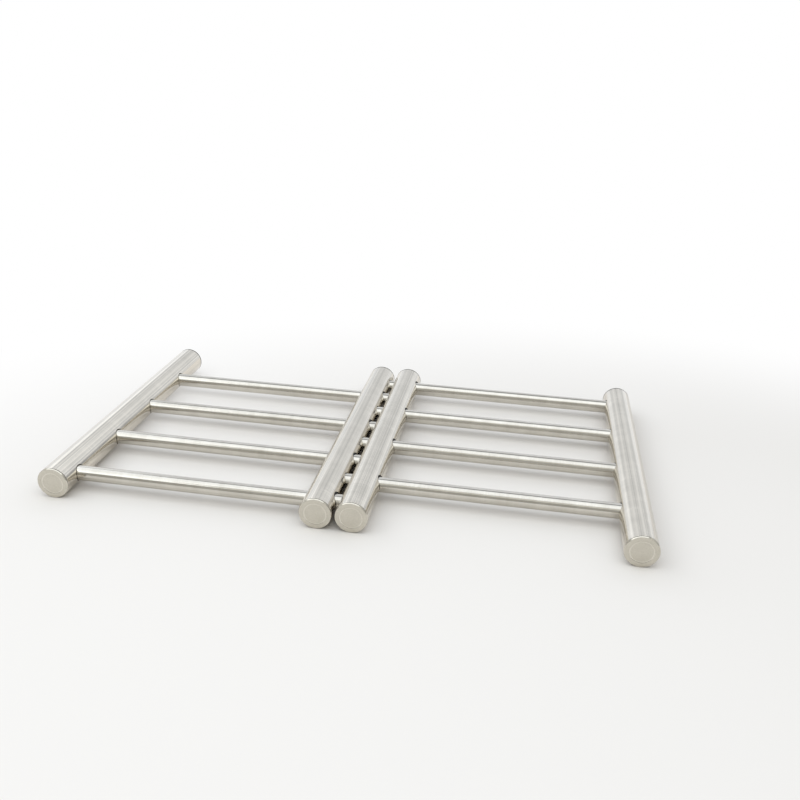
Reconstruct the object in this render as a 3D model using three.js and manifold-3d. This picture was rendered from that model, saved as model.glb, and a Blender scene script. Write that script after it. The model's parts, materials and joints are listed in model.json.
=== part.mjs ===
// Extending trivet of round stainless tube, in millimetres, with +Z up
//
// Two equal frames slide through each other. Each frame is an outer bar and an inner bar, joined by
// four rods. The inner bar of each frame has guide sleeves that run on the other frame's rods, so the
// two inner bars meet in the middle when the trivet is pulled out, and each inner bar meets an outer
// bar when it is pushed together. The right frame is the left frame turned half round.
//
// The origin is on the surface that the bars stand on, in the middle of the trivet as it is pulled out.
// The rods run along X and the bars along Y.

import * as THREE from 'three';
import { mergeVertices } from 'three/addons/utils/BufferGeometryUtils.js';
import Module from 'manifold-3d';

// Bars
const barDiameter = 25;
const barWall = 1.2;
const barLength = 272; // over both end caps

// Rods
const rodDiameter = 12;
const rodWall = 1;
const rodsPerFrame = 4;

// Frames
const frameWidth = 234; // between the axes of a frame's two bars
const middleGap = 2; // between the two inner bars, as the trivet stands pulled out

// Guide sleeves
const sleeveWall = 0.9;
const sleeveInset = 0.4; // how far a sleeve's end lies under the bar's surface

// End caps
const capPlate = 1.4;
const capRim = 0.5; // radius of the rounded outer edge
const capDishDepth = 0.25; // the middle of the face lies this much lower
const capDishDiameter = 17.6;
const capDishSlope = 0.7; // width of the step down into the dish
const capSpigotLength = 8;
const capSpigotWall = 1;
const spigotToHole = 3.6; // from the end of a cap's spigot to the nearest sleeve's hole

// Clearances
const slideClearance = 0.3; // between a rod and its guide sleeve, all round
const seatClearance = 0.3; // between pieces that are pressed or welded together
const cutOverrun = 3; // how far a cutter stands past the wall that it cuts

// Facets
const barSides = 36;
const rodSides = 20;
const rimSteps = 2;

// Sizes that follow
const barRadius = barDiameter / 2;
const barBore = barRadius - barWall;
const rodRadius = rodDiameter / 2;
const rodHole = rodRadius + seatClearance;
const sleeveBore = rodRadius + slideClearance;
const sleeveRadius = sleeveBore + sleeveWall;
const sleeveHole = sleeveRadius + seatClearance;
const innerBarX = (barDiameter + middleGap) / 2;
const outerBarX = innerBarX - frameWidth;
const tubeLength = barLength - 2 * (capPlate + seatClearance);
const capLength = capPlate + capSpigotLength;
const rodInset = capLength + spigotToHole + sleeveHole; // from a bar's end to the first rod's axis
const rodSpacing = (barLength - 2 * rodInset) / (2 * rodsPerFrame - 1); // the frames' rods take turns
const rodReach = Math.sqrt(barBore ** 2 - rodRadius ** 2) - seatClearance; // past a bar's axis

const manifold = await Module();
manifold.setup();

// Finishes, one material for each piece
function finish(color, roughness, metalness) {
  return new THREE.MeshStandardMaterial({ color, roughness, metalness });
}
const barFinish = () => finish('#c6c4bd', 0.38, 1);
const rodFinish = () => finish('#d0cec8', 0.25, 1);
const capFinish = () => finish('#b9b4a9', 0.5, 1);
const sleeveFinish = () => finish('#1d1d1f', 0.55, 0);

// A many-sided form whose flats lie on the given radius has its corners further out
function cornerRadius(radius, sides) {
  return radius / Math.cos(Math.PI / sides);
}

// A form turned about Y from a profile of [radius, y] pairs, with flats that face up and down
function turned(profile, sides) {
  const points = profile.map(([radius, y]) => new THREE.Vector2(cornerRadius(radius, sides), y));
  return new THREE.LatheGeometry(points, sides, Math.PI / sides);
}

function tube(outer, inner, length, sides) {
  const end = length / 2;
  return turned([[inner, -end], [outer, -end], [outer, end], [inner, end], [inner, -end]], sides);
}

function solidBar(radius, length, sides) {
  const corner = cornerRadius(radius, sides);
  return new THREE.CylinderGeometry(corner, corner, length, sides, 1, false, Math.PI / sides);
}

// Lays a form that was made along Y along X
function alongX(geometry) {
  return geometry.rotateZ(Math.PI / 2);
}

function toSolid(geometry) {
  geometry.deleteAttribute('normal');
  geometry.deleteAttribute('uv');
  const welded = mergeVertices(geometry);
  return new manifold.Manifold(new manifold.Mesh({
    numProp: 3,
    vertProperties: welded.attributes.position.array,
    triVerts: welded.index.array,
  }));
}

function toGeometry(solid) {
  const mesh = solid.getMesh();
  const geometry = new THREE.BufferGeometry();
  geometry.setAttribute('position', new THREE.BufferAttribute(mesh.vertProperties, mesh.numProp));
  geometry.setIndex(new THREE.BufferAttribute(mesh.triVerts, 1));
  geometry.computeVertexNormals();
  return geometry;
}

// Where a frame's own rods lie along its bars, from front to back
function rodRows() {
  const firstRow = rodInset - barLength / 2;
  return Array.from({ length: rodsPerFrame }, (_, index) => firstRow + 2 * rodSpacing * index);
}

// A bar with blind holes for its own rods in the wall that faces side, and holes right through it
// for the sleeves of the other frame's rods
function barGeometry(side, ownRows, passingRows) {
  let bar = toSolid(tube(barRadius, barBore, tubeLength, barSides));
  const reach = barRadius + cutOverrun;
  for (const row of ownRows) {
    const cutter = alongX(solidBar(rodHole, reach, rodSides));
    cutter.translate(side * reach / 2, row, 0);
    bar = bar.subtract(toSolid(cutter));
  }
  for (const row of passingRows) {
    const cutter = alongX(solidBar(sleeveHole, 2 * reach, rodSides));
    cutter.translate(0, row, 0);
    bar = bar.subtract(toSolid(cutter));
  }
  return toGeometry(bar);
}

function rodGeometry() {
  return alongX(tube(rodRadius, rodRadius - rodWall, frameWidth + 2 * rodReach, rodSides));
}

// A sleeve across the bar, with its ends trimmed to the bar's round
function sleeveGeometry() {
  const sleeve = toSolid(alongX(tube(sleeveRadius, sleeveBore, barDiameter, rodSides)));
  const trim = toSolid(solidBar(barRadius - sleeveInset, barDiameter, barSides));
  return toGeometry(sleeve.intersect(trim));
}

// A pressed cap with its face at y = 0 and its spigot along +Y, a plate on a thin ring
function capGeometry() {
  const dish = capDishDiameter / 2;
  const spigot = barBore - seatClearance;
  const rim = Array.from({ length: rimSteps + 1 }, (_, step) => {
    const angle = (Math.PI / 2) * (step / rimSteps);
    return [barRadius - capRim + capRim * Math.sin(angle), capRim - capRim * Math.cos(angle)];
  });
  return turned([
    [0, capDishDepth],
    [dish - capDishSlope, capDishDepth],
    [dish, 0],
    ...rim,
    [barRadius, capPlate],
    [spigot, capPlate],
    [spigot, capLength],
    [spigot - capSpigotWall, capLength],
    [spigot - capSpigotWall, capPlate],
    [0, capPlate],
  ], barSides);
}

function addPiece(group, name, geometry, material, x, y) {
  const piece = new THREE.Mesh(geometry, material);
  piece.name = name;
  piece.position.set(x, y, barRadius);
  group.add(piece);
  return piece;
}

// Caps on both ends of a bar; ends names the one at -Y first
function addCaps(group, name, ends, x) {
  addPiece(group, `${name}_${ends[0]}_cap`, capGeometry(), capFinish(), x, -barLength / 2);
  const farCap = addPiece(group, `${name}_${ends[1]}_cap`, capGeometry(), capFinish(), x, barLength / 2);
  farCap.rotation.z = Math.PI;
}

// A frame as the left one stands, with its outer bar at the far left and its inner bar just right of
// the middle. ends names the bars' ends and numbers the rods, both from -Y to +Y.
function makeFrame(name, ends, numbers) {
  const group = new THREE.Group();
  const ownRows = rodRows();
  const passingRows = ownRows.map((row) => -row).reverse();
  const middleX = (outerBarX + innerBarX) / 2;
  addPiece(group, `${name}_outer_bar`, barGeometry(1, ownRows, []), barFinish(), outerBarX, 0);
  addPiece(group, `${name}_inner_bar`, barGeometry(-1, ownRows, passingRows), barFinish(), innerBarX, 0);
  addCaps(group, `${name}_outer`, ends, outerBarX);
  addCaps(group, `${name}_inner`, ends, innerBarX);
  numbers.forEach((number, index) => {
    addPiece(group, `${name}_rod_${number}`, rodGeometry(), rodFinish(), middleX, ownRows[index]);
  });
  numbers.forEach((number, index) => {
    const row = passingRows[index];
    addPiece(group, `${name}_sleeve_${number}`, sleeveGeometry(), sleeveFinish(), innerBarX, row);
  });
  return group;
}

const trivet = new THREE.Group();
const rodNumbers = rodRows().map((_, index) => index + 1);
const leftFrame = makeFrame('left', ['front', 'rear'], rodNumbers);
const rightFrame = makeFrame('right', ['rear', 'front'], rodNumbers.toReversed());
rightFrame.rotation.z = Math.PI;
trivet.add(leftFrame, rightFrame);

export default trivet;
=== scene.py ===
# Extending trivet of brushed stainless tube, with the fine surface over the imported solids, in metres
#
# Every piece is laid as a fine mesh in the place that its solid gives: bars with rounded hole edges,
# drawn rods, pressed end caps and the guide sleeves inside the inner bars. Bars run along Y and rods
# along X.

import json
import math
import bpy
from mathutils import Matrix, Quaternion, Vector


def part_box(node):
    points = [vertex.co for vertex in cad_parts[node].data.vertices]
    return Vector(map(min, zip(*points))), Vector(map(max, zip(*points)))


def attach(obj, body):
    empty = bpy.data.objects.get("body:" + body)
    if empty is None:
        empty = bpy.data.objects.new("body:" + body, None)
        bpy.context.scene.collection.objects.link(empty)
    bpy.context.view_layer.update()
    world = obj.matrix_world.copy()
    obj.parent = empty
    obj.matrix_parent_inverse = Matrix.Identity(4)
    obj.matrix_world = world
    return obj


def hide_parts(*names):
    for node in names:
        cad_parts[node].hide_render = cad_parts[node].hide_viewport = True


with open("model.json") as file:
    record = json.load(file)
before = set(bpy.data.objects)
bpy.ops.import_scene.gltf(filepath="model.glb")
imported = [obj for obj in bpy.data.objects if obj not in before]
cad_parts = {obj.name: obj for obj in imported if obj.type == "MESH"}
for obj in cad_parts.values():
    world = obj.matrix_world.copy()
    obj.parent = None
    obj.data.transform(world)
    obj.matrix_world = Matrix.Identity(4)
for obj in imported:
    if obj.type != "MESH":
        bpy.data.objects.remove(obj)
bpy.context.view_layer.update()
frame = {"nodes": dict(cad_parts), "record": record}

MM = 0.001

# Bars
BAR_WALL = 1.2 * MM
BAR_COLUMNS = 96  # round a bar
BAR_STEP = 8 * MM  # along a bar, where it has no hole
TUBE_END_ROUND = 0.3 * MM

# Holes in the bars
SEAT_GAP = 0.3 * MM  # between a hole and the sleeve in it, and between a tube and a cap's spigot
ROD_GAP = 0.5 * MM  # between a hole and the end of a rod in it
HOLE_ROUND = 0.2 * MM  # the broken edge of a hole
PATCH_HALF = 10 * MM  # from a hole's axis to the ends of the patch of faces round it
PATCH_COLUMNS = 12  # from a hole's axis to the sides of that patch
PATCH_ROWS = 24
PATCH_SHARES = (0, 0.3, 0.55, 0.75, 0.9, 1)  # from the patch's edge to the hole's edge
ROUND_STEPS = 4

# Rods
ROD_WALL = 1 * MM
ROD_COLUMNS = 64
ROD_STEP = 12 * MM
ROD_END_ROUND = 0.3 * MM

# Guide sleeves
SLEEVE_WALL = 0.9 * MM
SLEEVE_INSET = 0.4 * MM  # how far a sleeve's end lies under the bar's surface
SLEEVE_COLUMNS = 96
SLEEVE_EDGE = 0.15 * MM

# End caps
CAP_PLATE = 1.0 * MM
CAP_EDGE = 0.2 * MM  # radius of both edges of the chamfer
CAP_CHAMFER = 0.65 * MM  # width of its flat
CAP_CHAMFER_ANGLE = 55  # degrees between the ways that the chamfer and the face look
CAP_COLUMNS = 128
CAP_EDGE_STEPS = 4
CAP_DISH = 0.1 * MM  # the middle of the face lies this much lower
CAP_RING_RADIUS = 8.8 * MM  # to the outer edge of the pressed ring
CAP_RING_WIDTH = 0.9 * MM
CAP_RING_DEPTH = 0.12 * MM
CAP_RING_STEPS = 8
CAP_SPIGOT_WALL = 1 * MM

WELD = 0.0001 * MM  # points nearer than this are one point
AWAY = "away"  # the points' distance from their piece's axis, which the materials read

# Axes that forms are turned round
AXIS_X = 0
AXIS_Y = 1
AXIS_Y_BACK = -2  # Y, with the form's far end towards -Y

# Ways in a turned form's profile, in degrees
ALONG = 0
OUTWARD = 90
BACKWARD = 180


class Draft:
    """Faces laid in sheets. A sheet is rows of corners, and a corner is a place and the way it faces."""

    def __init__(self):
        self.places = []
        self.numbers = {}
        self.faces = []
        self.facings = []

    def number(self, place):
        key = tuple(round(value / WELD) for value in place)
        if key not in self.numbers:
            self.numbers[key] = len(self.places)
            self.places.append(place)
        return self.numbers[key]

    def face(self, corners):
        kept = []
        for place, facing in corners:
            number = self.number(place)
            if number not in [other for other, _ in kept]:
                kept.append((number, facing))
        if len(kept) < 3:
            return
        a, b, c = (Vector(self.places[number]) for number, _ in kept[:3])
        across = (b - a).cross(c - b)
        outward = sum((Vector(facing) for _, facing in kept), Vector())
        if across.dot(outward) < 0:
            kept.reverse()
        self.faces.append([number for number, _ in kept])
        self.facings.extend(facing for _, facing in kept)

    def sheet(self, rows):
        for row, following in zip(rows, rows[1:]):
            for k in range(len(row) - 1):
                self.face([row[k], row[k + 1], following[k + 1], following[k]])

    def piece(self, name, material, centre, axis):
        """The mesh as a piece. Its points know how far they are from the axis through the centre."""
        mesh = bpy.data.meshes.new(name)
        mesh.from_pydata(self.places, [], self.faces)
        mesh.shade_smooth()
        mesh.normals_split_custom_set([Vector(facing).normalized() for facing in self.facings])
        across = 1 - axis
        away = mesh.attributes.new(AWAY, "FLOAT", "POINT")
        for point, place in zip(away.data, self.places):
            point.value = math.hypot(place[across] - centre[across], place[2] - centre.z)
        mesh.materials.append(material)
        piece = bpy.data.objects.new(name, mesh)
        bpy.context.scene.collection.objects.link(piece)
        return piece


# Profiles of turned forms, as (along, radius, facing along, facing radius). They go clockwise round the
# section, so that the outer wall is drawn with along growing.
def line(start, end, step=None):
    length = math.dist(start, end)
    facing = ((start[1] - end[1]) / length, (end[0] - start[0]) / length)
    count = max(1, round(length / step)) if step else 1
    shares = [k / count for k in range(count + 1)]
    return [(*(s + (e - s) * share for s, e in zip(start, end)), *facing) for share in shares]


def arc(centre, radius, start, end, steps):
    """An outward arc from one angle to another, in degrees from the way along"""
    angles = [math.radians(start + (end - start) * k / steps) for k in range(steps + 1)]
    facings = [(math.cos(angle), math.sin(angle)) for angle in angles]
    return [(centre[0] + radius * x, centre[1] + radius * y, x, y) for x, y in facings]


def turns_of(columns):
    """The angles once round, of which the last is the first again"""
    return [2 * math.pi * (k % columns) / columns for k in range(columns + 1)]


def turned(draft, centre, axis, stretches, columns):
    """Lays stretches of profile round an axis"""
    for stretch in stretches:
        rows = []
        for along, radius, facing_along, facing_radius in stretch:
            row = []
            for turn in turns_of(columns):
                sideways = math.cos(turn)
                up = math.sin(turn)
                place = laid(axis, along, radius * sideways, radius * up)
                facing = laid(axis, facing_along, facing_radius * sideways, facing_radius * up)
                row.append((tuple(c + p for c, p in zip(centre, place)), facing))
            rows.append(row)
        draft.sheet(rows)


def laid(axis, along, sideways, up):
    if axis == AXIS_X:
        return (along, sideways, up)
    if axis == AXIS_Y:
        return (sideways, along, up)
    return (-sideways, -along, up)


# What the solids say
def middle(node):
    low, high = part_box(node)
    return (low + high) / 2


def radius_of(node):
    low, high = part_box(node)
    return (high.z - low.z) / 2


def body_of(node):
    bodies = frame["record"]["behaviour"]["bodies"]
    return next(body for body, members in bodies.items() if node in members)


NODES = sorted(frame["nodes"])
BARS = [node for node in NODES if node.endswith("_bar")]
RODS = [node for node in NODES if "_rod_" in node]
CAPS = [node for node in NODES if node.endswith("_cap")]
SLEEVES = [node for node in NODES if "_sleeve_" in node]


class Hole:
    """A hole across a bar at a rod's row, open on the given sides, 1 for the +X side"""

    def __init__(self, row, radius, sides):
        self.row = row
        self.radius = radius
        self.sides = sides


def holes_of(bar):
    """A rod that ends in the bar has a hole on the side it comes from, and one that passes has two"""
    axis = middle(bar)
    reach = radius_of(bar)
    sleeve_radius = radius_of(SLEEVES[0])
    holes = []
    for rod in RODS:
        low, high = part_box(rod)
        row = middle(rod).y
        if low.x < axis.x - reach and high.x > axis.x + reach:
            holes.append(Hole(row, sleeve_radius + SEAT_GAP, (1, -1)))
        elif abs(low.x - axis.x) < reach:
            holes.append(Hole(row, radius_of(rod) + ROD_GAP, (1,)))
        elif abs(high.x - axis.x) < reach:
            holes.append(Hole(row, radius_of(rod) + ROD_GAP, (-1,)))
    return sorted(holes, key=lambda hole: hole.row)


# Bars. A corner on a bar's round is given by its radius, the side, the row and the height over the axis.
# A wall's way is 1 where it faces away from the axis and -1 where it faces the axis.
def on_round(centre, radius, way, side, row, height):
    reach = side * math.sqrt(radius ** 2 - height ** 2)
    facing = (way * reach / radius, 0, way * height / radius)
    return ((centre.x + reach, row, centre.z + height), facing)


def round_row(centre, radius, way, row, columns):
    corners = []
    for k in columns:
        turn = 2 * math.pi * (k % BAR_COLUMNS) / BAR_COLUMNS
        facing = (way * math.cos(turn), 0, way * math.sin(turn))
        place = (centre.x + radius * math.cos(turn), row, centre.z + radius * math.sin(turn))
        corners.append((place, facing))
    return corners


def patch_rows():
    return [PATCH_HALF * (2 * k / PATCH_ROWS - 1) for k in range(PATCH_ROWS + 1)]


def patch_edge(radius):
    """The edge of the patch round a hole, once round, as rows and heights from the hole's axis"""
    turns = [2 * math.pi * k / BAR_COLUMNS for k in range(-PATCH_COLUMNS, PATCH_COLUMNS + 1)]
    heights = [radius * math.sin(turn) for turn in turns]
    rows = patch_rows()
    edge = [(rows[-1], height) for height in heights[:-1]]
    edge += [(row, heights[-1]) for row in reversed(rows[1:])]
    edge += [(rows[0], height) for height in reversed(heights[1:])]
    edge += [(row, heights[0]) for row in rows]
    return edge


def bearings(radius):
    """The angles round a hole at which the corners of its patch's edge lie"""
    return [math.atan2(height, row) for row, height in patch_edge(radius)]


def wall_with_holes(draft, centre, radius, way, ends, holes, lip, angles):
    """A round wall between two rows, in which the holes are wider than their own radius by a lip"""
    everything = range(BAR_COLUMNS + 1)
    start = ends[0]
    for hole in [*holes, None]:
        end = hole.row - PATCH_HALF if hole else ends[1]
        count = max(1, round((end - start) / BAR_STEP))
        rows = [start + (end - start) * k / count for k in range(count)] + [end]
        draft.sheet([round_row(centre, radius, way, row, everything) for row in rows])
        if hole:
            start = hole.row + PATCH_HALF
            beside_hole(draft, centre, radius, way, hole)
            for side in hole.sides:
                patch(draft, centre, radius, way, hole, side, hole.radius + lip, angles)


def beside_hole(draft, centre, radius, way, hole):
    """The wall above and below a hole's patch, and across from it where the hole has one side only"""
    half = BAR_COLUMNS // 2
    spans = [range(PATCH_COLUMNS, half - PATCH_COLUMNS + 1),
             range(half + PATCH_COLUMNS, BAR_COLUMNS - PATCH_COLUMNS + 1)]
    if 1 not in hole.sides:
        spans.append(range(-PATCH_COLUMNS, PATCH_COLUMNS + 1))
    if -1 not in hole.sides:
        spans.append(range(half - PATCH_COLUMNS, half + PATCH_COLUMNS + 1))
    for span in spans:
        draft.sheet([round_row(centre, radius, way, hole.row + row, span) for row in patch_rows()])


def patch(draft, centre, radius, way, hole, side, mouth, angles):
    """The wall from the edge of a hole's patch to the hole's mouth"""
    edge = patch_edge(radius)
    rings = []
    for share in PATCH_SHARES:
        ring = []
        for (row, height), angle in zip(edge, angles):
            row += (mouth * math.cos(angle) - row) * share
            height += (mouth * math.sin(angle) - height) * share
            ring.append(on_round(centre, radius, way, side, hole.row + row, height))
        rings.append(ring)
    draft.sheet(rings)


def hole_wall(draft, centre, outer, bore, hole, side, angles):
    """The broken edge of a hole and the wall behind it, as far as the bore"""
    rings = []
    for k in range(ROUND_STEPS + 1):
        tilt = math.pi / 2 * k / ROUND_STEPS
        ring = []
        for angle in angles:
            away = hole.radius + HOLE_ROUND * (1 - math.sin(tilt))
            height = away * math.sin(angle)
            reach = math.sqrt(outer ** 2 - height ** 2)
            place = (
                centre.x + side * (reach - HOLE_ROUND * (1 - math.cos(tilt))),
                hole.row + away * math.cos(angle),
                centre.z + height,
            )
            up = math.cos(tilt) * height / outer - math.sin(tilt) * math.sin(angle)
            facing = (math.cos(tilt) * side * reach / outer, -math.sin(tilt) * math.cos(angle), up)
            ring.append((place, facing))
        rings.append(ring)
    draft.sheet(rings)
    deep = []
    for angle in angles:
        height = hole.radius * math.sin(angle)
        reach = side * math.sqrt(bore ** 2 - height ** 2)
        place = (centre.x + reach, hole.row + hole.radius * math.cos(angle), centre.z + height)
        deep.append((place, (0, -math.cos(angle), -math.sin(angle))))
    draft.sheet([rings[-1], deep])


def make_bar(node):
    draft = Draft()
    centre = middle(node)
    outer = radius_of(node)
    bore = outer - BAR_WALL
    low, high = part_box(node)
    holes = holes_of(node)
    angles = bearings(outer)
    outer_ends = (low.y + TUBE_END_ROUND, high.y - TUBE_END_ROUND)
    wall_with_holes(draft, centre, outer, 1, outer_ends, holes, HOLE_ROUND, angles)
    wall_with_holes(draft, centre, bore, -1, (low.y, high.y), holes, 0, angles)
    for hole in holes:
        for side in hole.sides:
            hole_wall(draft, centre, outer, bore, hole, side, angles)
    half = (high.y - low.y) / 2
    inside_edge = (half - TUBE_END_ROUND, outer - TUBE_END_ROUND)
    round_edge = arc(inside_edge, TUBE_END_ROUND, OUTWARD, ALONG, ROUND_STEPS)
    face = line((half, outer - TUBE_END_ROUND), (half, bore))
    for axis in (AXIS_Y, AXIS_Y_BACK):
        turned(draft, centre, axis, [round_edge, face], BAR_COLUMNS)
    return draft


# Rods
def make_rod(node):
    draft = Draft()
    low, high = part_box(node)
    outer = radius_of(node)
    bore = outer - ROD_WALL
    half = (high.x - low.x) / 2
    edge = ROD_END_ROUND
    turned(draft, middle(node), AXIS_X, [
        arc((edge - half, outer - edge), edge, BACKWARD, OUTWARD, ROUND_STEPS),
        line((edge - half, outer), (half - edge, outer), ROD_STEP),
        arc((half - edge, outer - edge), edge, OUTWARD, ALONG, ROUND_STEPS),
        line((half, outer - edge), (half, bore)),
        line((half, bore), (-half, bore), ROD_STEP),
        line((-half, bore), (-half, outer - edge)),
    ], ROD_COLUMNS)
    return draft


# End caps, with along pointing out of the bar from the tube's side of the plate
def pressed_ring(face):
    """The round groove between the rim's flat and the dish, from its outer edge to its inner edge"""
    def place(share):
        depth = CAP_RING_DEPTH * math.sin(math.pi * share) + CAP_DISH * share
        return (face - depth, CAP_RING_RADIUS - CAP_RING_WIDTH * share)

    corners = []
    for step in range(CAP_RING_STEPS + 1):
        share = step / CAP_RING_STEPS
        rise = -CAP_RING_DEPTH * math.pi * math.cos(math.pi * share) - CAP_DISH
        length = math.hypot(rise, CAP_RING_WIDTH)
        corners.append((*place(share), CAP_RING_WIDTH / length, rise / length))
    return corners


def chamfer(outer):
    """From the cap's side to its face, with its flat between two rounded edges"""
    tilt = math.radians(CAP_CHAMFER_ANGLE)
    side = (CAP_PLATE - CAP_EDGE - CAP_CHAMFER * math.sin(tilt), outer - CAP_EDGE)
    face = (CAP_PLATE - CAP_EDGE, outer - CAP_EDGE - CAP_CHAMFER * math.cos(tilt))
    side_edge = arc(side, CAP_EDGE, OUTWARD, CAP_CHAMFER_ANGLE, CAP_EDGE_STEPS)
    face_edge = arc(face, CAP_EDGE, CAP_CHAMFER_ANGLE, ALONG, CAP_EDGE_STEPS)
    flat = line(side_edge[-1][:2], face_edge[0][:2])
    return [line((0, outer), side_edge[0][:2]), side_edge, flat, face_edge,
            line(face_edge[-1][:2], (CAP_PLATE, CAP_RING_RADIUS))]


def make_cap(node):
    draft = Draft()
    low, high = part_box(node)
    centre = middle(node)
    outer = radius_of(node)
    spigot = outer - BAR_WALL - SEAT_GAP
    length = high.y - low.y
    end = CAP_PLATE - length
    inner = spigot - CAP_SPIGOT_WALL
    rear = centre.y > 0
    base = Vector((centre.x, high.y - CAP_PLATE if rear else low.y + CAP_PLATE, centre.z))
    turned(draft, base, AXIS_Y if rear else AXIS_Y_BACK, [
        line((0, 0), (0, inner)),
        line((0, inner), (end, inner)),
        line((end, inner), (end, spigot)),
        line((end, spigot), (0, spigot)),
        line((0, spigot), (0, outer)),
        *chamfer(outer),
        pressed_ring(CAP_PLATE),
        line((CAP_PLATE - CAP_DISH, CAP_RING_RADIUS - CAP_RING_WIDTH), (CAP_PLATE - CAP_DISH, 0)),
    ], CAP_COLUMNS)
    return draft


# Guide sleeves, with their ends cut to the round of the bar
def make_sleeve(node):
    draft = Draft()
    centre = middle(node)
    outer = radius_of(node)
    bore = outer - SLEEVE_WALL
    trim = radius_of(BARS[0]) - SLEEVE_INSET

    def ring(radius, side, drop, way):
        """Corners round an end. way is 1 on the outer wall, -1 in the bore, and 0 on the end itself."""
        corners = []
        for turn in turns_of(SLEEVE_COLUMNS):
            height = radius * math.sin(turn)
            reach = math.sqrt(trim ** 2 - height ** 2) - drop
            place = (centre.x + side * reach, centre.y + radius * math.cos(turn), centre.z + height)
            if way:
                corners.append((place, (0, way * math.cos(turn), way * math.sin(turn))))
            else:
                corners.append((place, (side * reach / trim, 0, height / trim)))
        return corners

    for side in (1, -1):
        inner_edge = bore + SLEEVE_EDGE
        outer_edge = outer - SLEEVE_EDGE
        draft.sheet([ring(bore, side, SLEEVE_EDGE, 0), ring(inner_edge, side, 0, 0),
                     ring(outer_edge, side, 0, 0), ring(outer, side, SLEEVE_EDGE, 0)])
    draft.sheet([ring(outer, -1, SLEEVE_EDGE, 1), ring(outer, 1, SLEEVE_EDGE, 1)])
    draft.sheet([ring(bore, -1, SLEEVE_EDGE, -1), ring(bore, 1, SLEEVE_EDGE, -1)])
    return draft


# Materials. A pattern is a noise's grains to a metre, one number or one for each axis, then its detail
# and its roughness. A window is the two values between which something comes in. Shares weigh marks in a
# sum. Depths are those of the bumps that marks make.
SMUDGE_WINDOW = (0.3, 0.7)
INSIDE_PAINTED_SHADE = (0.06, 0.057, 0.052, 1)  # painted shade on steel inside a bar or behind a cap's plate
QUARTER_TURN = 0.25  # turns the stretch of highlights from round the axis to along it

BAR_STREAKS = ((400, 0.7, 400), 3.0, 0.7)
BAR_RINGS = ((12, 1500, 12), 3.0, 0.6)
BAR_PATCHES = (30.0, 3.0, 0.6)
BAR_PATCH_WINDOW = (0.48, 0.62)
BAR_UNBRUSHED = 0.5  # what the rings count for outside the patches
BAR_SMUDGES = (60.0, 3.0, 0.55)
BAR_SHARES = (0.6, 0.25, 0.15)  # streaks, brushed patches and smudges
BAR_SHADE_WINDOW = (0.43, 0.57)
BAR_DARK = (0.59, 0.555, 0.49, 1)
BAR_LIGHT = (0.78, 0.73, 0.645, 1)
BAR_SCORES = ((900, 0.5, 900), 0.0, 0.5)
BAR_SCORE_WINDOW = (0.64, 0.72)
BAR_SCORE_STRENGTH = 0.5
BAR_SCORE = (0.42, 0.40, 0.37, 1)
BAR_ROUGHNESS = (0.13, 0.20)
BAR_DEPTHS = (0.025 * MM, 0.01 * MM)  # streaks and rings
BAR_ANISOTROPY = 0.5

ROD_STREAKS = ((1, 620, 620), 3.0, 0.6)
ROD_RINGS = ((1400, 16, 16), 2.0, 0.5)
ROD_SMUDGES = (70.0, 3.0, 0.55)
ROD_SHARES = (0.45, 0.15, 0.4)  # streaks, rings and smudges
ROD_SHADE_WINDOW = (0.40, 0.60)
ROD_DARK = (0.56, 0.532, 0.475, 1)
ROD_LIGHT = (0.665, 0.637, 0.578, 1)
ROD_ROUGHNESS = (0.10, 0.16)
ROD_DEPTHS = (0.008 * MM, 0.004 * MM)  # streaks and rings
ROD_ANISOTROPY = 0.4

CAP_TURNING = (1100.0, 2.0, 0.6)
CAP_GRAIN = (900.0, 2.0, 0.6)
CAP_SMUDGES = (160.0, 3.0, 0.55)
CAP_SHARES = (0.3, 0.35, 0.35)  # turning marks, grain and smudges
CAP_SHADE_WINDOW = (0.38, 0.62)
CAP_DARK = (0.582, 0.55, 0.477, 1)
CAP_LIGHT = (0.668, 0.635, 0.557, 1)
# A painted highlight along the pressed ring: its lighter colour, how strongly it shows and how far it
# reaches
CAP_RING_PAINTED_HIGHLIGHT = (0.80, 0.765, 0.69, 1)
CAP_RING_HIGHLIGHT_STRENGTH = 0.8
CAP_RING_HIGHLIGHT_REACH = 0.6 * CAP_RING_WIDTH  # from the ring's middle to where its painted highlight ends
CAP_FACE_WINDOW = (0.90, 0.995)  # of how far the surface faces along the bar
CAP_ROUGHNESS = (0.38, 0.46)
CAP_RIM_ROUGHNESS = 0.15
CAP_DEPTHS = (0.01 * MM, 0.006 * MM, 0.006 * MM)  # smudges, turning marks and grain

SLEEVE_GRAIN = (2500.0, 2.0, 0.5)
SLEEVE_DARK = (0.02, 0.02, 0.021, 1)
SLEEVE_LIGHT = (0.04, 0.04, 0.042, 1)
SLEEVE_ROUGHNESS = (0.45, 0.65)
SLEEVE_DEPTHS = (0.01 * MM,)


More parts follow.
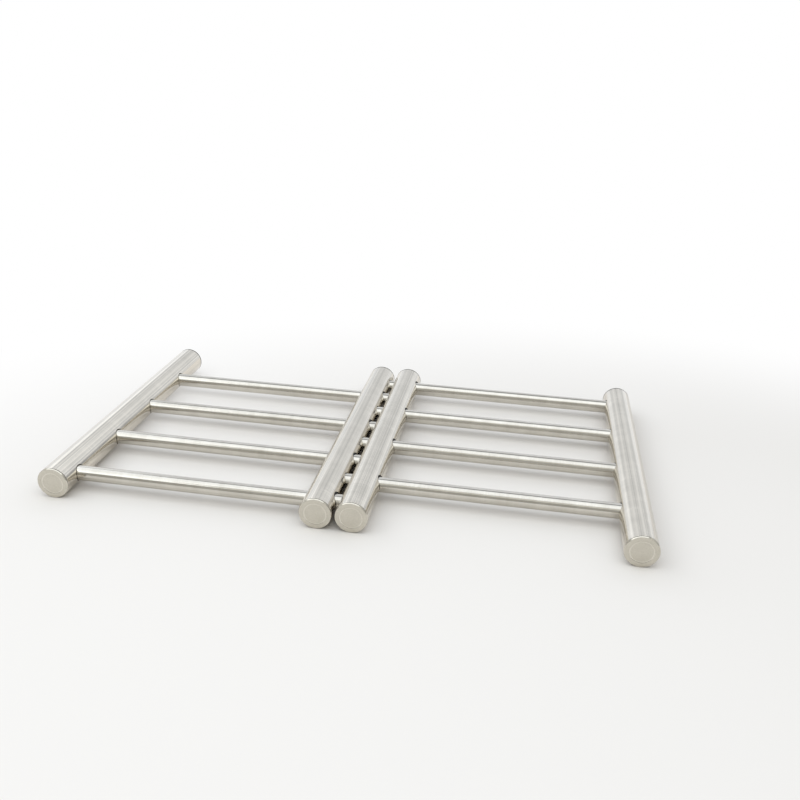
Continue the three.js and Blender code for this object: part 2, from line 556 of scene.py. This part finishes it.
class Nodes:
    """A material's or world's node tree, with its nodes added one by one"""

    def __init__(self, owner):
        owner.use_nodes = True
        self.tree = owner.node_tree
        self.tree.nodes.clear()

    def feed(self, socket, value):
        """Links a socket to another node's socket, or sets it to a plain value"""
        if isinstance(value, bpy.types.NodeSocket):
            self.tree.links.new(value, socket)
        else:
            socket.default_value = value

    def add(self, kind, settings=None, **inputs):
        node = self.tree.nodes.new(kind)
        for name, value in (settings or {}).items():
            setattr(node, name, value)
        for name, value in inputs.items():
            self.feed(node.inputs[name.replace("_", " ")], value)
        return node

    def numbered(self, kind, settings, inputs):
        """A node whose inputs are known by their numbers"""
        node = self.add(kind, settings)
        for number, value in inputs.items():
            self.feed(node.inputs[number], value)
        return node

    def calculated(self, operation, first, second=0.0):
        return self.numbered("ShaderNodeMath", {"operation": operation}, {0: first, 1: second}).outputs[0]

    def mixed(self, share, first, second):
        """A number between two others"""
        inputs = {0: share, 2: first, 3: second}
        return self.numbered("ShaderNodeMix", {"data_type": "FLOAT"}, inputs).outputs[0]

    def blended(self, share, first, second):
        """A colour between two others"""
        inputs = {0: share, 6: first, 7: second}
        return self.numbered("ShaderNodeMix", {"data_type": "RGBA"}, inputs).outputs[2]

    def joined(self, share, first, second):
        """A shader between two others"""
        return self.numbered("ShaderNodeMixShader", {}, {0: share, 1: first, 2: second}).outputs["Shader"]

    def span(self, value, window, result=(0.0, 1.0), smooth=False):
        """A value moved from a window to a result, and held at the result's ends outside the window"""
        curve = "SMOOTHSTEP" if smooth else "LINEAR"
        node = self.add("ShaderNodeMapRange", {"interpolation_type": curve})
        names = ("Value", "From Min", "From Max", "To Min", "To Max")
        for name, number in zip(names, (value, *window, *result)):
            self.feed(node.inputs[name], number)
        return node.outputs["Result"]

    def step(self, value, window, height=1.0):
        """A smooth step from 0, at a window's first end, to a height, at its second end"""
        if window[0] < window[1]:
            return self.span(value, window, (0.0, height), True)
        return self.span(value, window[::-1], (height, 0.0), True)

    def place(self):
        return self.add("ShaderNodeTexCoord").outputs["Object"]

    def away(self):
        return self.add("ShaderNodeAttribute", {"attribute_name": AWAY}).outputs["Fac"]

    def parts(self, vector):
        return self.add("ShaderNodeSeparateXYZ", Vector=vector).outputs

    def marks(self, place, pattern):
        """Noise between 0 and 1 in a pattern"""
        grains, detail, roughness = pattern
        if isinstance(grains, tuple):
            place = self.add("ShaderNodeMapping", Vector=place, Scale=grains).outputs["Vector"]
            grains = 1.0
        inputs = {"Vector": place, "Scale": grains, "Detail": detail, "Roughness": roughness}
        return self.add("ShaderNodeTexNoise", **inputs).outputs["Fac"]

    def sum(self, values, shares):
        total = 0.0
        for value, share in zip(values, shares):
            total = self.calculated("ADD", total, self.calculated("MULTIPLY", value, share))
        return total

    def bumps(self, heights, depths):
        """A normal from layers of heights between 0 and 1, each with its depth"""
        inputs = {}
        for height, depth in zip(heights, depths):
            node = self.add("ShaderNodeBump", Height=height, Strength=1.0, Distance=depth, **inputs)
            inputs = {"Normal": node.outputs["Normal"]}
        return inputs["Normal"]

    def surface(self, color, roughness, normal, metallic=0.0):
        inputs = {"Base_Color": color, "Metallic": metallic, "Roughness": roughness, "Normal": normal}
        shader = self.add("ShaderNodeBsdfPrincipled", **inputs)
        self.add("ShaderNodeOutputMaterial", Surface=shader.outputs["BSDF"])
        return shader

    def metal(self, color, roughness, normal, anisotropy=0.0, axis="Y"):
        """Bare metal, whose highlights stretch along the axis where it has anisotropy"""
        shader = self.surface(color, roughness, normal, 1.0)
        if anisotropy:
            tangent = self.add("ShaderNodeTangent", {"direction_type": "RADIAL", "axis": axis})
            self.feed(shader.inputs["Tangent"], tangent.outputs["Tangent"])
            shader.inputs["Anisotropic"].default_value = anisotropy
            shader.inputs["Anisotropic Rotation"].default_value = QUARTER_TURN


def bar_steel():
    """Tube drawn lengthwise, then brushed round in patches, with painted shade in its bore and holes"""
    material = bpy.data.materials.new("bar_steel")
    nodes = Nodes(material)
    place = nodes.place()
    streaks = nodes.marks(place, BAR_STREAKS)
    rings = nodes.marks(place, BAR_RINGS)
    patches = nodes.step(nodes.marks(place, BAR_PATCHES), BAR_PATCH_WINDOW)
    brushed = nodes.mixed(patches, BAR_UNBRUSHED, rings)
    smudges = nodes.marks(place, BAR_SMUDGES)
    shade = nodes.sum((streaks, brushed, smudges), BAR_SHARES)
    skin = nodes.blended(nodes.span(shade, BAR_SHADE_WINDOW), BAR_DARK, BAR_LIGHT)
    scores = nodes.step(nodes.marks(place, BAR_SCORES), BAR_SCORE_WINDOW, BAR_SCORE_STRENGTH)
    scored = nodes.blended(scores, skin, BAR_SCORE)
    # Painted shade: below the holes' broken edges, the hole walls and the bore go near-black for the
    # shade in the tube
    outer = radius_of(BARS[0])
    outside = nodes.span(nodes.away(), (outer - 2 * HOLE_ROUND, outer - HOLE_ROUND))
    color = nodes.blended(outside, INSIDE_PAINTED_SHADE, scored)
    roughness = nodes.span(smudges, SMUDGE_WINDOW, BAR_ROUGHNESS)
    nodes.metal(color, roughness, nodes.bumps((streaks, rings), BAR_DEPTHS), BAR_ANISOTROPY, "Y")
    return material


def rod_steel():
    """Smoother rod, drawn lengthwise"""
    material = bpy.data.materials.new("rod_steel")
    nodes = Nodes(material)
    place = nodes.place()
    streaks = nodes.marks(place, ROD_STREAKS)
    rings = nodes.marks(place, ROD_RINGS)
    smudges = nodes.marks(place, ROD_SMUDGES)
    shade = nodes.sum((streaks, rings, smudges), ROD_SHARES)
    color = nodes.blended(nodes.span(shade, ROD_SHADE_WINDOW), ROD_DARK, ROD_LIGHT)
    roughness = nodes.span(smudges, SMUDGE_WINDOW, ROD_ROUGHNESS)
    nodes.metal(color, roughness, nodes.bumps((streaks, rings), ROD_DEPTHS), ROD_ANISOTROPY, "X")
    return material


def cap_steel():
    """Pressed, faced cap: faint turning marks, a grained face, a polished rim and painted highlight on
    its ring
    """
    material = bpy.data.materials.new("cap_steel")
    nodes = Nodes(material)
    place = nodes.place()
    away = nodes.away()
    turning = nodes.marks(nodes.add("ShaderNodeCombineXYZ", X=away).outputs["Vector"], CAP_TURNING)
    grain = nodes.marks(place, CAP_GRAIN)
    smudges = nodes.marks(place, CAP_SMUDGES)
    shade = nodes.sum((turning, grain, smudges), CAP_SHARES)
    face = nodes.blended(nodes.span(shade, CAP_SHADE_WINDOW), CAP_DARK, CAP_LIGHT)
    # Painted highlight: a lighter band of colour along the pressed ring, for the light it catches
    off_ring = nodes.calculated("SUBTRACT", away, CAP_RING_RADIUS - CAP_RING_WIDTH / 2)
    ring = nodes.step(nodes.calculated("ABSOLUTE", off_ring), (CAP_RING_HIGHLIGHT_REACH, 0.0), CAP_RING_HIGHLIGHT_STRENGTH)
    # Painted shade: the spigot and the back of the plate, inside the tube, go near-black for the shade in
    # the seam
    low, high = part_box(CAPS[0])
    seam = max(abs(low.y), abs(high.y)) - CAP_PLATE
    along = nodes.calculated("ABSOLUTE", nodes.parts(place)["Y"])
    outside = nodes.span(along, (seam, seam + CAP_EDGE / 2))
    color = nodes.blended(outside, INSIDE_PAINTED_SHADE, nodes.blended(ring, face, CAP_RING_PAINTED_HIGHLIGHT))
    facing = nodes.parts(nodes.add("ShaderNodeTexCoord").outputs["Normal"])["Y"]
    flat = nodes.step(nodes.calculated("ABSOLUTE", facing), CAP_FACE_WINDOW)
    roughness = nodes.mixed(flat, CAP_RIM_ROUGHNESS, nodes.span(smudges, SMUDGE_WINDOW, CAP_ROUGHNESS))
    nodes.metal(color, roughness, nodes.bumps((smudges, turning, grain), CAP_DEPTHS))
    return material


def sleeve_plastic():
    """Dull dark plastic with a fine grain"""
    material = bpy.data.materials.new("sleeve_plastic")
    nodes = Nodes(material)
    grain = nodes.marks(nodes.place(), SLEEVE_GRAIN)
    color = nodes.blended(grain, SLEEVE_DARK, SLEEVE_LIGHT)
    roughness = nodes.span(grain, (0.0, 1.0), SLEEVE_ROUGHNESS)
    nodes.surface(color, roughness, nodes.bumps((grain,), SLEEVE_DEPTHS))
    return material


# Studio
WHITE = (1, 1, 1, 1)
FLOOR_HALF = 4.0
FLOOR_COLOR = (0.84, 0.811, 0.774, 1)
FADE_MIDDLE = Vector((0.2, -0.45, 0))  # the floor keeps its own colour round this point
FADE_WINDOW = (0.53, 0.87)  # from that point, where the floor fades into the white

# How bright the room is, against white. A place in it is given by the way there, which is one long, and
# windows are shares of that way along X, Y and Z.
ROOM_FRONT = 0.5
ROOM_FRONT_HIGH = 0.85
ROOM_FRONT_HIGH_WINDOW = (0.50, 0.62)  # along Z
ROOM_CEILING = 0.5
ROOM_CEILING_WINDOW = (0.70, 0.86)  # along Z
ROOM_BACK_WINDOW = (-0.2, 0.4)  # along Y
ROOM_BACK_LOW = 1.1
ROOM_BACK_PARTS = (  # the level and the windows of each, laid over those before it
    (0.88, {"Z": (0.10, 0.35)}),  # the middle of the wall's height
    (1.3, {"X": (-0.38, -0.46), "Z": (0.10, 0.30)}),  # high on the left
    (1.02, {"X": (-0.30, -0.18), "Y": (0.84, 0.78), "Z": (0.24, 0.36)}),  # aside of straight back
    (0.42, {"X": (0.30, 0.60), "Y": (0.85, 0.80), "Z": (0.28, 0.14)}),  # low on the right
    (1.15, {"Z": (0.60, 0.70)}),  # highest
)
ROOM_FRONT_COLOR = (1.0, 1.0, 0.95, 1)
ROOM_BACK_COLOR = (0.96, 1, 1.06, 1)

# The lamps, above what the room gives behind them
PANEL_LEVEL = 1.07
PANEL_COLOR = (0.945, 1, 1.08)
PANEL_HEIGHT = 1.2
OVERHEAD_SIZE = (1.65, 1.2)
OVERHEAD_MIDDLE = (0.075, -0.35)
LEFT_SIZE = (0.95, 2.2)
LEFT_MIDDLE = (-1.225, -0.6)

CAMERA_PLACE = Vector((0.12521, -0.65213, 0.33822))
CAMERA_AIM = Vector((0.00889, 0.11271, 0))
CAMERA_ROLL = 2.005  # degrees, with the right side up
CAMERA_LENS = 37.9
CAMERA_NEAREST = 0.01
CAMERA_FURTHEST = 20


def floor_material():
    """Pale paper that fades into the white of the background, for the camera and in reflections"""
    material = bpy.data.materials.new("floor_paper")
    nodes = Nodes(material)
    place = nodes.add("ShaderNodeNewGeometry").outputs["Position"]
    apart = nodes.numbered("ShaderNodeVectorMath", {"operation": "DISTANCE"}, {0: place, 1: FADE_MIDDLE})
    rays = nodes.add("ShaderNodeLightPath").outputs
    straight = nodes.calculated("MAXIMUM", rays["Is Camera Ray"], rays["Is Glossy Ray"])
    straight = nodes.calculated("MAXIMUM", straight, rays["Is Transmission Ray"])
    fade = nodes.calculated("MULTIPLY", nodes.step(apart.outputs["Value"], FADE_WINDOW), straight)
    paper = nodes.add("ShaderNodeBsdfDiffuse", Color=FLOOR_COLOR)
    white = nodes.add("ShaderNodeEmission", Color=WHITE, Strength=1.0)
    shader = nodes.joined(fade, paper.outputs["BSDF"], white.outputs["Emission"])
    nodes.add("ShaderNodeOutputMaterial", Surface=shader)
    return material


def make_floor():
    mesh = bpy.data.meshes.new("floor")
    corners = [(x * FLOOR_HALF, y * FLOOR_HALF, 0) for x, y in ((-1, -1), (1, -1), (1, 1), (-1, 1))]
    mesh.from_pydata(corners, [], [(0, 1, 2, 3)])
    mesh.materials.append(floor_material())
    floor = bpy.data.objects.new("floor", mesh)
    bpy.context.scene.collection.objects.link(floor)


def room_level(nodes, way):
    back = ROOM_BACK_LOW
    for level, windows in ROOM_BACK_PARTS:
        share = 1.0
        for axis, window in windows.items():
            share = nodes.calculated("MULTIPLY", share, nodes.step(way[axis], window))
        back = nodes.mixed(share, back, level)
    front = nodes.mixed(nodes.step(way["Z"], ROOM_FRONT_HIGH_WINDOW), ROOM_FRONT, ROOM_FRONT_HIGH)
    walls = nodes.mixed(nodes.step(way["Y"], ROOM_BACK_WINDOW), front, back)
    return nodes.mixed(nodes.step(way["Z"], ROOM_CEILING_WINDOW), walls, ROOM_CEILING)


def make_world():
    """A pale room that lights the trivet and shows in its steel, dimmer in front, overhead and low on the
    right than at the back, and plain white where the camera sees it"""
    world = bpy.data.worlds.new("studio")
    bpy.context.scene.world = world
    nodes = Nodes(world)
    way = nodes.parts(nodes.add("ShaderNodeTexCoord").outputs["Generated"])
    color = nodes.blended(nodes.step(way["Y"], ROOM_BACK_WINDOW), ROOM_FRONT_COLOR, ROOM_BACK_COLOR)
    room = nodes.add("ShaderNodeBackground", Color=color, Strength=room_level(nodes, way))
    white = nodes.add("ShaderNodeBackground", Color=WHITE, Strength=1.0)
    rays = nodes.add("ShaderNodeLightPath").outputs
    seen = nodes.calculated("MAXIMUM", rays["Is Camera Ray"], rays["Is Transmission Ray"])
    shader = nodes.joined(seen, room.outputs["Background"], white.outputs["Background"])
    nodes.add("ShaderNodeOutputWorld", Surface=shader)


def make_panel(name, size, centre):
    """A soft lamp that hangs level over the trivet, as bright as its level against white"""
    light = bpy.data.lights.new(name, "AREA")
    light.shape = "RECTANGLE"
    light.color = PANEL_COLOR
    light.size, light.size_y = size
    light.energy = math.pi * size[0] * size[1] * PANEL_LEVEL
    lamp = bpy.data.objects.new(name, light)
    lamp.location = (*centre, PANEL_HEIGHT)
    lamp.visible_camera = False
    bpy.context.scene.collection.objects.link(lamp)


def make_camera():
    data = bpy.data.cameras.new("camera")
    data.lens = CAMERA_LENS
    data.clip_start = CAMERA_NEAREST
    data.clip_end = CAMERA_FURTHEST
    camera = bpy.data.objects.new("camera", data)
    camera.location = CAMERA_PLACE
    camera.rotation_mode = "QUATERNION"
    aimed = (CAMERA_AIM - CAMERA_PLACE).to_track_quat("-Z", "Y")
    camera.rotation_quaternion = aimed @ Quaternion((0, 0, 1), math.radians(CAMERA_ROLL))
    bpy.context.scene.collection.objects.link(camera)
    bpy.context.scene.camera = camera


def dress(nodes, make, material, axis):
    for node in nodes:
        piece = make(node).piece(f"{node}_fine", material, middle(node), axis)
        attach(piece, body_of(node))
        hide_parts(node)


dress(BARS, make_bar, bar_steel(), AXIS_Y)
dress(RODS, make_rod, rod_steel(), AXIS_X)
dress(CAPS, make_cap, cap_steel(), AXIS_Y)
dress(SLEEVES, make_sleeve, sleeve_plastic(), AXIS_X)
make_floor()
make_world()
make_panel("overhead", OVERHEAD_SIZE, OVERHEAD_MIDDLE)
make_panel("left", LEFT_SIZE, LEFT_MIDDLE)
make_camera()
bpy.context.scene.view_settings.view_transform = "Standard"
